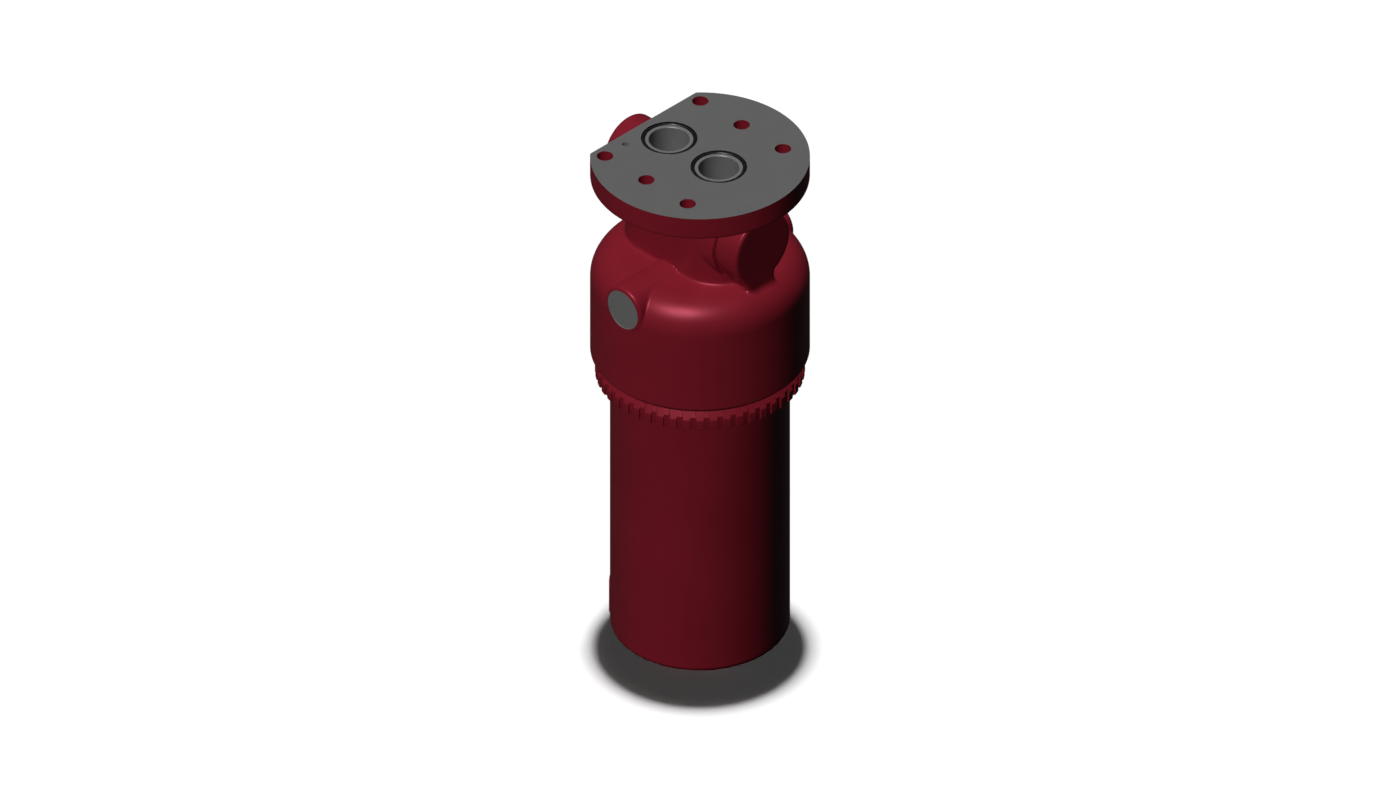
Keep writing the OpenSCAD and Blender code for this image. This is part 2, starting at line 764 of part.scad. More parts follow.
// The valve cone rests in the seat. Its stem crosses the outlet and carries the spring plate.
module bypass_poppet() {
    cone_r = seat_bore_d / 2 - face_gap;
    color("silver") on_valve_axis() {
        translate([0, 0, seat_out - seat_slope])
            cylinder(r1 = cone_r, r2 = cone_r + seat_slope, h = seat_slope);
        translate([0, 0, seat_out]) cylinder(r = cone_r + seat_slope, h = poppet_rim_t);
        translate([0, 0, seat_out]) cylinder(d = stem_d, h = stem_end - seat_out);
        translate([0, 0, plate_out]) cylinder(r = valve_bore_d / 2 - 1, h = plate_t);
    }
}

// Wire centre line and section of the valve's spring.
spring_from = plate_out + plate_t + wire_d / 2 + seal_gap;
spring_to = pocket_floor - wire_d / 2 - seal_gap;
ring_steps = 20;
wire_sides = 8;

function wire_point(t, a) = let (
    turn = 360 * spring_turns * t,
    r = spring_r + wire_d / 2 * cos(a)
) [r * cos(turn), r * sin(turn), spring_from + (spring_to - spring_from) * t + wire_d / 2 * sin(a)];

module bypass_spring() {
    steps = ceil(spring_turns * ring_steps);
    points = [for (i = [0 : steps], j = [0 : wire_sides - 1])
        wire_point(i / steps, 360 * j / wire_sides)];
    sides = [for (i = [0 : steps - 1], j = [0 : wire_sides - 1]) let (k = (j + 1) % wire_sides)
        [i * wire_sides + j, i * wire_sides + k, (i + 1) * wire_sides + k, (i + 1) * wire_sides + j]];
    first = [for (j = [wire_sides - 1 : -1 : 0]) j];
    last = [for (j = [0 : wire_sides - 1]) steps * wire_sides + j];
    color("darkgray") on_valve_axis() polyhedron(points, concat(sides, [first, last]), convexity = 10);
}

module bypass_plug() {
    stem_bore_r = stem_d / 2 + run_gap;
    color("gainsboro") on_valve_axis() difference() {
        union() {
            difference() {
                translate([0, 0, boss_end + washer_t])
                    socket_plug(plug_d / 2, plug_len + washer_t, plug_collar_d / 2,
                        plug_collar_t, plug_socket_af);
                translate([0, 0, plug_in - eps])
                    cylinder(r = valve_bore_d / 2 - face_gap, h = plug_pocket + eps);
            }
            translate([0, 0, pocket_floor - guide_len])
                cylinder(r = stem_bore_r + guide_wall, h = guide_len + eps);
        }
        translate([0, 0, pocket_floor - guide_len - eps])
            cylinder(r = stem_bore_r, h = guide_len + guide_depth + eps);
    }
}

module bypass_plug_seal() {
    color("gold") on_valve_axis() translate([0, 0, boss_end])
        tube(plug_d / 2 + fit_gap, plug_collar_d / 2, washer_t);
}

filter_head();
inlet_port_o_ring();
outlet_port_o_ring();
filter_bowl();
type_plate();
bowl_o_ring();
bowl_backup_ring();
drain_plug();
drain_plug_seal();
element_top_cap();
element_bottom_cap();
element_core_tube();
element_pleats();
element_outer_wrap();
element_o_ring();
bypass_seat();
bypass_poppet();
bypass_spring();
bypass_plug();
bypass_plug_seal();
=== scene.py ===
from math import cos, hypot, pi, radians, sin, tan

import bpy
import numpy as np
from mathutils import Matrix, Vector


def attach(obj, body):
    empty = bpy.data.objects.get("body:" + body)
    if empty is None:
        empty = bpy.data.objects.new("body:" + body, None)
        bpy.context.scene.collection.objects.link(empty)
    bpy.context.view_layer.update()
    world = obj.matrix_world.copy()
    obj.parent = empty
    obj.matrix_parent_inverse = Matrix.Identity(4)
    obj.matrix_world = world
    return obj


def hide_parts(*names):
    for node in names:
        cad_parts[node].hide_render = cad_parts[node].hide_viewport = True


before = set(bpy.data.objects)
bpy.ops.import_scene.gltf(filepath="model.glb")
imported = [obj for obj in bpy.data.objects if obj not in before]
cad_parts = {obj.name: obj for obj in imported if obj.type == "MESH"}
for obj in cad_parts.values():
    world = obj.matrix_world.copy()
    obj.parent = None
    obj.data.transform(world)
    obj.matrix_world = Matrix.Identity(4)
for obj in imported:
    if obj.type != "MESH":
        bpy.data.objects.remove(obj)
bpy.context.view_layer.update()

mm = 0.001
bodyAxis = 6.2  # the bowl hangs this far beside the bolt pattern's centre, in mm


def startClean():
    if bpy.context.object and bpy.context.object.mode != "OBJECT":
        bpy.ops.object.mode_set(mode="OBJECT")
    bpy.ops.object.select_all(action="DESELECT")


def pick(*pieces):
    startClean()
    for piece in pieces:
        piece.select_set(True)
    bpy.context.view_layer.objects.active = pieces[0]


def settle(name):
    piece = bpy.context.object
    piece.name = name
    piece.data.name = name
    bpy.ops.object.transform_apply(location=True, rotation=True, scale=True)
    return piece


def rod(name, radius, start, end, sides=96, endRadius=None):
    # round bar or cone from start to end
    startClean()
    start, end = Vector(start), Vector(end)
    run = end - start
    turn = run.to_track_quat("Z", "Y").to_euler()
    place = (start + end) / 2 * mm
    if endRadius is None:
        bpy.ops.mesh.primitive_cylinder_add(vertices=sides, radius=radius * mm, depth=run.length * mm,
                                            location=place, rotation=turn)
    else:
        bpy.ops.mesh.primitive_cone_add(vertices=sides, radius1=radius * mm, radius2=endRadius * mm,
                                        depth=run.length * mm, location=place, rotation=turn)
    return settle(name)


def block(name, low, high):
    startClean()
    low, high = Vector(low), Vector(high)
    bpy.ops.mesh.primitive_cube_add(size=1, location=(low + high) / 2 * mm, scale=(high - low) * mm)
    return settle(name)


def ball(name, radius, centre):
    startClean()
    bpy.ops.mesh.primitive_uv_sphere_add(segments=64, ring_count=32, radius=radius * mm,
                                         location=Vector(centre) * mm)
    return settle(name)


def merged(pieces, name):
    pick(*pieces)
    bpy.ops.object.join()
    return settle(name)


def combine(piece, tool, operation="DIFFERENCE"):
    # cuts the tool out of the piece, or adds it, and puts the tool away
    pick(piece)
    step = piece.modifiers.new("combine", "BOOLEAN")
    step.operation = operation
    step.solver = "MANIFOLD"
    step.material_mode = "TRANSFER"
    step.object = tool
    bpy.ops.object.modifier_apply(modifier=step.name)
    bpy.data.objects.remove(tool)
    return piece


def turned(name, outline, steps=192, centre=(bodyAxis, 0, 0), axis=(0, 0, 1), cuts=()):
    # draws half of a section as (distance from the axis, place along it), then spins it round the axis
    axis = Vector(axis)
    across = Vector((1, 0, 0)) if abs(axis.z) > 0.5 else Vector((0, 0, 1))
    places = [(Vector(centre) + across * r + axis * z) * mm for r, z in outline]
    startClean()
    bpy.ops.mesh.primitive_plane_add(size=0.001, location=places[0])
    piece = settle(name)
    bpy.ops.object.mode_set(mode="EDIT")
    bpy.ops.mesh.select_mode(type="VERT")  # a single point can't be selected in edge mode
    bpy.ops.mesh.select_all(action="SELECT")
    bpy.ops.mesh.merge(type="CENTER")
    for here, there in zip(places, places[1:]):
        bpy.ops.mesh.extrude_region_move(TRANSFORM_OT_translate={"value": there - here})
    bpy.ops.object.mode_set(mode="OBJECT")
    for low, high, count in cuts:  # rows across a straight stretch, for a thread
        for edge in piece.data.edges:
            ends = [(piece.data.vertices[i].co / mm - Vector(centre)).dot(axis) for i in edge.vertices]
            edge.select = abs(min(ends) - low) < 0.01 and abs(max(ends) - high) < 0.01
        for vert in piece.data.vertices:
            vert.select = False
        for edge in piece.data.edges:
            if edge.select:
                for i in edge.vertices:
                    piece.data.vertices[i].select = True
        bpy.ops.object.mode_set(mode="EDIT")
        bpy.ops.mesh.subdivide(number_cuts=count)
        bpy.ops.object.mode_set(mode="OBJECT")
    bpy.ops.object.mode_set(mode="EDIT")
    bpy.ops.mesh.select_all(action="SELECT")
    bpy.ops.mesh.spin(steps=steps, angle=2 * pi, center=Vector(centre) * mm, axis=axis)
    bpy.ops.mesh.select_all(action="SELECT")
    bpy.ops.mesh.remove_doubles(threshold=0.000002)
    bpy.ops.mesh.normals_make_consistent(inside=False)
    bpy.ops.object.mode_set(mode="OBJECT")
    return piece


def rounded(corners, steps=5):
    # outline with each corner (r, z, radius) turned into an arc
    path = []
    count = len(corners)
    for i, (r, z, radius) in enumerate(corners):
        here = Vector((r, z))
        if radius == 0 or i in (0, count - 1):
            path.append((r, z))
            continue
        back = (Vector(corners[i - 1][:2]) - here).normalized()
        on = (Vector(corners[i + 1][:2]) - here).normalized()
        half = back.angle(on) / 2
        reach = radius / tan(half)
        middle = here + (back + on).normalized() * (radius / sin(half))
        first, last = here + back * reach - middle, here + on * reach - middle
        sweep = first.angle_signed(last)
        for k in range(steps + 1):
            a = -sweep * k / steps
            spoke = Vector((first.x * cos(a) - first.y * sin(a), first.x * sin(a) + first.y * cos(a)))
            path.append(tuple(middle + spoke))
    return path


def cutThread(piece, crest, depth, low, high, pitch):
    # pulls the rows of a plain cylinder into a right-handed screw thread
    count = len(piece.data.vertices)
    flat = np.empty(count * 3)
    piece.data.vertices.foreach_get("co", flat)
    p = flat.reshape(-1, 3) / mm
    dx, dy, z = p[:, 0] - bodyAxis, p[:, 1], p[:, 2]
    r = np.hypot(dx, dy)
    on = (np.abs(r - crest) < 0.02) & (z > low + 0.01) & (z < high - 0.01)
    phase = (z / pitch - np.arctan2(dy, dx) / (2 * pi)) % 1.0
    share = np.clip((1 - 2 * np.abs(phase - 0.5) - 0.12) / 0.66, 0, 1)
    fade = np.clip(np.minimum(z - low, high - z) / 1.2, 0, 1)
    new = crest - depth * share * fade
    scale = np.where(on, new / np.maximum(r, 1e-6), 1.0)
    p[:, 0] = bodyAxis + dx * scale
    p[:, 1] = dy * scale
    piece.data.vertices.foreach_set("co", (p * mm).ravel())
    piece.data.update()


def smooth(piece, angle=30):
    pick(piece)
    bpy.ops.object.shade_smooth_by_angle(angle=radians(angle))


def newMaterial(name, roughness, metallic=0.0):
    mat = bpy.data.materials.new(name)
    mat.use_nodes = True
    shader = mat.node_tree.nodes["Principled BSDF"]
    shader.inputs["Roughness"].default_value = roughness
    shader.inputs["Metallic"].default_value = metallic
    return mat, mat.node_tree.nodes, mat.node_tree.links, shader


def objectPlace(nodes, links, shift=(0, 0, 0), scale=(1, 1, 1)):
    coord = nodes.new("ShaderNodeTexCoord")
    mapping = nodes.new("ShaderNodeMapping")
    mapping.inputs["Location"].default_value = shift
    mapping.inputs["Scale"].default_value = scale
    links.new(coord.outputs["Object"], mapping.inputs["Vector"])
    return mapping.outputs["Vector"]


def noiseOf(nodes, links, place, scale, detail=3.0, roughness=0.5):
    noise = nodes.new("ShaderNodeTexNoise")
    noise.inputs["Scale"].default_value = scale
    noise.inputs["Detail"].default_value = detail
    noise.inputs["Roughness"].default_value = roughness
    links.new(place, noise.inputs["Vector"])
    return noise.outputs["Fac"]


def ramped(nodes, links, value, stops):
    ramp = nodes.new("ShaderNodeValToRGB")
    ramp.color_ramp.elements[0].position, ramp.color_ramp.elements[1].position = stops[0][0], stops[-1][0]
    ramp.color_ramp.elements[0].color = (*stops[0][1], 1)
    ramp.color_ramp.elements[1].color = (*stops[-1][1], 1)
    for position, colour in stops[1:-1]:
        ramp.color_ramp.elements.new(position).color = (*colour, 1)
    links.new(value, ramp.inputs["Fac"])
    return ramp.outputs["Color"]


def mapped(nodes, links, value, low, high):
    node = nodes.new("ShaderNodeMapRange")
    node.inputs["To Min"].default_value = low
    node.inputs["To Max"].default_value = high
    links.new(value, node.inputs["Value"])
    return node.outputs["Result"]


def bumped(nodes, links, shader, value, distance, strength=1.0, under=None):
    bump = nodes.new("ShaderNodeBump")
    bump.inputs["Distance"].default_value = distance
    bump.inputs["Strength"].default_value = strength
    links.new(value, bump.inputs["Height"])
    if under is not None:
        links.new(under, bump.inputs["Normal"])
    links.new(bump.outputs["Normal"], shader.inputs["Normal"])
    return bump.outputs["Normal"]


def computed(nodes, links, operation, a, b=None):
    node = nodes.new("ShaderNodeMath")
    node.operation = operation
    for i, value in enumerate((a, b)):
        if value is None:
            continue
        if isinstance(value, (int, float)):
            node.inputs[i].default_value = value
        else:
            links.new(value, node.inputs[i])
    return node.outputs[0]


enamel = dict(colour=(0.172, 0.0098, 0.0185), deep=(0.156, 0.0086, 0.0165), roughness=0.39,
              specular=0.36, tint=(1.0, 0.20, 0.29), peel=0.000012, cast=0.00003)


def redEnamel(name, cast):
    # satin red enamel over a casting: faint cast grain under it and a fine orange peel on it
    mat, nodes, links, shader = newMaterial(name, enamel["roughness"])
    place = objectPlace(nodes, links)
    cloud = noiseOf(nodes, links, place, 14, 2)
    links.new(ramped(nodes, links, cloud, [(0.35, enamel["deep"]), (0.65, enamel["colour"])]),
              shader.inputs["Base Color"])
    patch = noiseOf(nodes, links, place, 60, 3)
    links.new(mapped(nodes, links, patch, enamel["roughness"] - 0.03, enamel["roughness"] + 0.04),
              shader.inputs["Roughness"])
    shader.inputs["Specular IOR Level"].default_value = enamel["specular"]
    shader.inputs["Specular Tint"].default_value = (*enamel["tint"], 1)
    under = bumped(nodes, links, shader, noiseOf(nodes, links, place, 330, 4, 0.6), cast)
    bumped(nodes, links, shader, noiseOf(nodes, links, place, 900, 1), enamel["peel"], under=under)
    return mat


def turnedMetal(name, base, spread, roughness, metallic, centre=(bodyAxis, 0, 0), axis="z", rings=1400,
                lines=0.12, bump=0.000004):
    # bare metal with the fine rings that a turning tool leaves round its own axis
    mat, nodes, links, shader = newMaterial(name, roughness, metallic)
    place = objectPlace(nodes, links, shift=tuple(-v * mm for v in centre))
    split = nodes.new("ShaderNodeSeparateXYZ")
    links.new(place, split.inputs["Vector"])
    u, v, w = {"z": ("X", "Y", "Z"), "x": ("Y", "Z", "X"), "y": ("X", "Z", "Y")}[axis]
    squares = [computed(nodes, links, "POWER", computed(nodes, links, "ABSOLUTE", split.outputs[side]), 2.0)
               for side in (u, v)]
    radius = computed(nodes, links, "SQRT", computed(nodes, links, "ADD", *squares))
    join = nodes.new("ShaderNodeCombineXYZ")
    links.new(radius, join.inputs["X"])
    links.new(split.outputs[w], join.inputs["Y"])
    ring = noiseOf(nodes, links, join.outputs["Vector"], rings, 2, 0.6)
    cloud = noiseOf(nodes, links, place, 45, 3)
    both = computed(nodes, links, "ADD", computed(nodes, links, "MULTIPLY", ring, lines * 4),
                computed(nodes, links, "MULTIPLY", cloud, 1 - lines * 4))
    low = tuple(base * (1 - spread) for _ in range(3))
    high = tuple(base * (1 + spread) * k for k in (1.0, 1.0, 0.985))
    links.new(ramped(nodes, links, both, [(0.3, low), (0.7, high)]), shader.inputs["Base Color"])
    links.new(mapped(nodes, links, ring, roughness - 0.06, roughness + 0.06), shader.inputs["Roughness"])
    bumped(nodes, links, shader, ring, bump)
    return mat


def plainMetal(name, colour, roughness, grain=260, metallic=1.0, bump=0.00001, spread=0.12):
    mat, nodes, links, shader = newMaterial(name, roughness, metallic)
    place = objectPlace(nodes, links)
    cloud = noiseOf(nodes, links, place, grain / 4, 3)
    low = tuple(c * (1 - spread) for c in colour)
    links.new(ramped(nodes, links, cloud, [(0.3, low), (0.7, colour)]), shader.inputs["Base Color"])
    fine = noiseOf(nodes, links, place, grain, 3, 0.6)
    links.new(mapped(nodes, links, fine, roughness - 0.07, roughness + 0.07), shader.inputs["Roughness"])
    bumped(nodes, links, shader, fine, bump)
    return mat


def sealRubber(name, colour=(0.006, 0.006, 0.0065)):
    mat, nodes, links, shader = newMaterial(name, 0.5)
    place = objectPlace(nodes, links)
    cloud = noiseOf(nodes, links, place, 220, 3)
    links.new(ramped(nodes, links, cloud, [(0.3, colour), (0.7, tuple(c * 1.6 for c in colour))]),
              shader.inputs["Base Color"])
    shader.inputs["Specular IOR Level"].default_value = 0.22
    links.new(mapped(nodes, links, cloud, 0.3, 0.42), shader.inputs["Roughness"])
    bumped(nodes, links, shader, noiseOf(nodes, links, place, 1500, 2), 0.000003)
    return mat


def pleatedMedia(name):
    mat, nodes, links, shader = newMaterial(name, 0.9)
    place = objectPlace(nodes, links)
    fibre = noiseOf(nodes, links, objectPlace(nodes, links, scale=(1, 1, 0.25)), 900, 4, 0.7)
    links.new(ramped(nodes, links, fibre, [(0.3, (0.60, 0.52, 0.33)), (0.7, (0.78, 0.72, 0.55))]),
              shader.inputs["Base Color"])
    shader.inputs["Specular IOR Level"].default_value = 0.1
    bumped(nodes, links, shader, noiseOf(nodes, links, place, 1300, 3, 0.7), 0.00004)
    return mat


castRed = redEnamel("castRed", enamel["cast"])
bowlRed = redEnamel("bowlRed", enamel["cast"] * 0.4)
plateRed = redEnamel("plateRed", 0.0)
millGrey = turnedMetal("millGrey", 0.093, 0.05, 0.42, 0.0, bump=0.000002)
boreGrey = turnedMetal("boreGrey", 0.120, 0.06, 0.4, 0.0, bump=0.000003)
# painted shade: near-black bare metal for the port grooves' walls, standing in for the shadow in the narrow groove
# that the shadowless key lamp doesn't cast
paintedGrooveShade = turnedMetal("paintedGrooveShade", 0.006, 0.2, 0.6, 0.0, bump=0.000002)
paintedGrooveShade.node_tree.nodes["Principled BSDF"].inputs["Specular IOR Level"].default_value = 0.1
coredGrey = plainMetal("coredGrey", (0.108, 0.106, 0.104), 0.6, grain=420, metallic=0.0, bump=0.00008)
faceGrey = turnedMetal("faceGrey", 0.123, 0.05, 0.42, 0.0, centre=(bodyAxis, 0, -97.5), axis="y",
                       bump=0.000002)
threadGrey = turnedMetal("threadGrey", 0.16, 0.08, 0.38, 0.4, rings=900)
plugZinc = turnedMetal("plugZinc", 0.40, 0.08, 0.34, 0.35, centre=(0, 0, -26.5), axis="x", rings=1100)
drainZinc = turnedMetal("drainZinc", 0.40, 0.08, 0.34, 0.35, rings=1100)
washerCopper = plainMetal("washerCopper", (0.55, 0.25, 0.13), 0.35)
tinSheet = plainMetal("tinSheet", (0.52, 0.52, 0.50), 0.34, grain=160)
valveSteel = plainMetal("valveSteel", (0.38, 0.38, 0.38), 0.25, grain=500)
springSteel = plainMetal("springSteel", (0.16, 0.16, 0.17), 0.36, grain=800)
portRubber = sealRubber("portRubber")
backupIvory, bNodes, bLinks, bShader = newMaterial("backupIvory", 0.45)
bLinks.new(ramped(bNodes, bLinks, noiseOf(bNodes, bLinks, objectPlace(bNodes, bLinks), 300, 3),
                  [(0.3, (0.62, 0.58, 0.48)), (0.7, (0.72, 0.69, 0.60))]), bShader.inputs["Base Color"])
media = pleatedMedia("media")
print("materials ready")


head = dict(
    flangeRadius=80, flangeThick=18, flangeFlat=58.5, flangeEdge=1.5, flatEdge=0.6, flangeOver=1.5,
    neckRadius=32, neckTop=-5, portGap=25.5, domeTop=-83, domeEdge=23.5, sunk=14,
    rim=-173.5, rimEdge=3.2, rimOver=2.5, bossStart=20, bossRadius=28, bossDepth=50, bossEnd=71.2, bossEdge=2.5,
    ribHalf=12.5, ribBack=-5, webLean=(0.839, 0.545), webTop=-65.3,
    rootStart=10, rootRadius=31.2, rootEnd=50.5, rootEdge=0.9,
    valveRadius=25, valveDepth=26.5, valveStart=-20, valveEnd=-68.3, valveFillet=1.5,
    faceRadius=18.3, faceDepth=97.5, faceReach=79.5, faceEdge=3.0,
    footFillet=3.0, footTop=-62, footRun=10, bossFillet=0.6, ribFillet=1.0, faceFillet=0.9, underFillet=1.5,
    voxel=1.2)
blank = dict(over=1.4, top=-6, sunk=12, rimOver=2.4, barrelUp=4, domeUp=3, domeShare=0.8, rootShort=1,
             webMid=-74, webTop=-62, webWide=20, webNarrow=15)  # the rough shape under the casting's skin


def joinedRound(a, b, radius):
    # two distances joined with a fillet of that radius
    reach = np.hypot(np.maximum(radius - a, 0), np.maximum(radius - b, 0))
    return np.maximum(radius, np.minimum(a, b)) - reach


def crossedRound(a, b, radius):
    # what two distances share, with its corner rounded
    reach = np.hypot(np.maximum(radius + a, 0), np.maximum(radius + b, 0))
    return np.minimum(-radius, np.maximum(a, b)) + reach


def castDistance(p):
    # how far each point lies outside the casting's skin, fillets included
    h = head
    x, y, z = p[:, 0], p[:, 1], p[:, 2]
    off = np.hypot(x - bodyAxis, y)
    deep = h["domeTop"] - h["sunk"] - z
    edge = crossedRound(off - h["flangeRadius"], bodyAxis - h["flangeFlat"] - x, h["flatEdge"])
    flange = np.maximum(crossedRound(edge, -h["flangeThick"] - z, h["flangeEdge"]), z - h["flangeOver"])
    neck = np.maximum(np.hypot(np.maximum(np.abs(x) - h["portGap"], 0), y) - h["neckRadius"],
                      np.maximum(z - h["neckTop"], deep))
    fromBoss = np.hypot(y, z + h["bossDepth"])
    root = np.maximum(crossedRound(fromBoss - h["rootRadius"], x - h["rootEnd"], h["rootEdge"]),
                      h["rootStart"] - x)
    neck = np.minimum(neck, root)
    dome = np.maximum(crossedRound(off - h["flangeRadius"], z - h["domeTop"], h["domeEdge"]),
                      h["rim"] - h["rimOver"] - z)
    slope = -y * h["webLean"][0] - (z + h["bossDepth"]) * h["webLean"][1] - h["bossRadius"]
    web = np.maximum(np.maximum(slope, y), np.maximum(z - h["webTop"], deep))
    rib = np.maximum(np.maximum(y - h["ribHalf"], h["ribBack"] - y), np.maximum(z + h["bossDepth"], deep))
    bossSide = np.minimum(fromBoss - h["bossRadius"], web)
    bossSide = joinedRound(bossSide, rib, h["ribFillet"])
    boss = np.maximum(crossedRound(bossSide, x - h["bossEnd"], h["bossEdge"]), h["bossStart"] - x)
    valveSide = np.hypot(y, z + h["valveDepth"]) - h["valveRadius"]
    valve = np.maximum(crossedRound(valveSide, h["valveEnd"] - x, h["bossEdge"]), x - h["valveStart"])
    faceSide = np.hypot(x - bodyAxis, z + h["faceDepth"]) - h["faceRadius"]
    face = crossedRound(faceSide, np.abs(y) - h["faceReach"], h["faceEdge"])
    body = joinedRound(neck, dome, h["footFillet"])
    share = np.clip((h["footTop"] - z) / h["footRun"], 0, 1)  # the fillet grows towards the boss's foot
    body = joinedRound(body, boss, h["bossFillet"] * (1 - share) + h["footFillet"] * share)
    body = joinedRound(body, valve, h["bossFillet"])
    body = joinedRound(body, face, h["faceFillet"])
    under = joinedRound(flange, neck, h["underFillet"])
    return np.minimum(body, np.minimum(under, joinedRound(flange, valve, h["valveFillet"])))


def laidOnSkin(p, passes):
    step = 0.01
    for _ in range(passes):
        slope = np.stack([castDistance(p + np.array(d) * step) - castDistance(p - np.array(d) * step)
                          for d in ((1, 0, 0), (0, 1, 0), (0, 0, 1))], 1) / (2 * step)
        steep = np.maximum((slope * slope).sum(1), 0.2)
        p = p - (castDistance(p) / steep)[:, None] * slope
    return p


def castHead():
    h, k = head, blank
    low, radius, gap = h["domeTop"] - k["sunk"], h["flangeRadius"], h["portGap"]
    shoulder = h["domeTop"] - h["domeEdge"]
    disc = rod("flangeDisc", radius, (bodyAxis, 0, -h["flangeThick"]), (bodyAxis, 0, k["over"]), 192)
    combine(disc, block("flatCut", (-90, -90, -30), (bodyAxis - h["flangeFlat"], 90, 10)))
    parts = [
        disc,
        block("neckWeb", (-gap, -h["neckRadius"], low), (gap, h["neckRadius"], k["top"])),
        rod("barrel", radius, (bodyAxis, 0, h["rim"] - k["rimOver"]),
            (bodyAxis, 0, shoulder + k["barrelUp"]), 192),
        rod("domeTop", radius, (bodyAxis, 0, shoulder + k["domeUp"]), (bodyAxis, 0, h["domeTop"]), 192,
            endRadius=radius - h["domeEdge"] * k["domeShare"]),
        rod("inletBoss", h["bossRadius"], (gap, 0, -h["bossDepth"]), (h["bossEnd"], 0, -h["bossDepth"])),
        rod("bossRoot", h["rootRadius"], (h["rootStart"], 0, -h["bossDepth"]),
            (h["rootEnd"] - k["rootShort"], 0, -h["bossDepth"])),
        block("rib", (gap, -h["ribHalf"], low), (h["bossEnd"], h["ribHalf"], -h["bossDepth"])),
        rod("valveBoss", h["valveRadius"], (-gap, 0, -h["valveDepth"]), (h["valveEnd"], 0, -h["valveDepth"])),
        rod("faceBosses", h["faceRadius"], (bodyAxis, -h["faceReach"], -h["faceDepth"]),
            (bodyAxis, h["faceReach"], -h["faceDepth"])),
        block("webHigh", (gap, -k["webWide"], k["webMid"]), (h["bossEnd"], 0, k["webTop"])),
        block("webLow", (gap, -k["webNarrow"], low), (h["bossEnd"], 0, k["webMid"]))]
    for side in (-1, 1):
        parts.append(rod("neckEnd", h["neckRadius"], (side * gap, 0, low), (side * gap, 0, k["top"])))
    piece = merged(parts, "castHead")
    piece.data.remesh_voxel_size = h["voxel"] * mm
    bpy.ops.object.voxel_remesh()

    # every point of the skin is laid on the casting's true form, so that the fillets come out even
    mesh = piece.data
    count = len(mesh.vertices)
    flat = np.empty(count * 3)
    mesh.vertices.foreach_get("co", flat)
    p = laidOnSkin(flat.reshape(-1, 3) / mm, 6)
    pairs = np.empty(len(mesh.edges) * 2, dtype=int)
    mesh.edges.foreach_get("vertices", pairs)
    pairs = pairs.reshape(-1, 2)
    degree = np.bincount(pairs.ravel(), minlength=count)
    for _ in range(4):
        around = np.stack([np.bincount(pairs[:, 0], p[pairs[:, 1], c], count)
                           + np.bincount(pairs[:, 1], p[pairs[:, 0], c], count) for c in range(3)], 1)
        p = laidOnSkin(p + 0.5 * (around / degree[:, None] - p), 3)
    mesh.vertices.foreach_set("co", (p * mm).ravel())
    mesh.update()
    print("casting skin", count, "points")
    return piece


ports = dict(radius=14.9, depth=24, chamfer=0.3, grooveIn=17.5, grooveWide=3.1, landDrop=0.9, passage=15,
             gallery=15, drop=11, dropX=46.2, dropEnd=-106, outlet=14, lean=60, leanEnd=104, spigotLow=-140,
             bulge=0.5)
bolts = dict(radius=6, pitch=42.5, row=49, depth=22, pinRadius=2.5, pinY=28, pinDepth=10)
over = 5  # how far a cutter stands out past the face that it enters
beyond = -80  # where the cutters of the valve's bore end, outside the boss
socket = dict(mouth=69.1, threadTop=-146.5, bore=65.1, boreTop=-116.5, chamber=62, roof=-97, chamberEdge=8,
              spigot=20, spigotEnd=-135, pitch=3.0, threadDepth=1.75)
valve = dict(bore=8, seatIn=-5.5, seatBore=5, plugBore=11.05, plugIn=57.3)


def finished(tool, material):
    tool.data.materials.clear()
    tool.data.materials.append(material)
    return tool


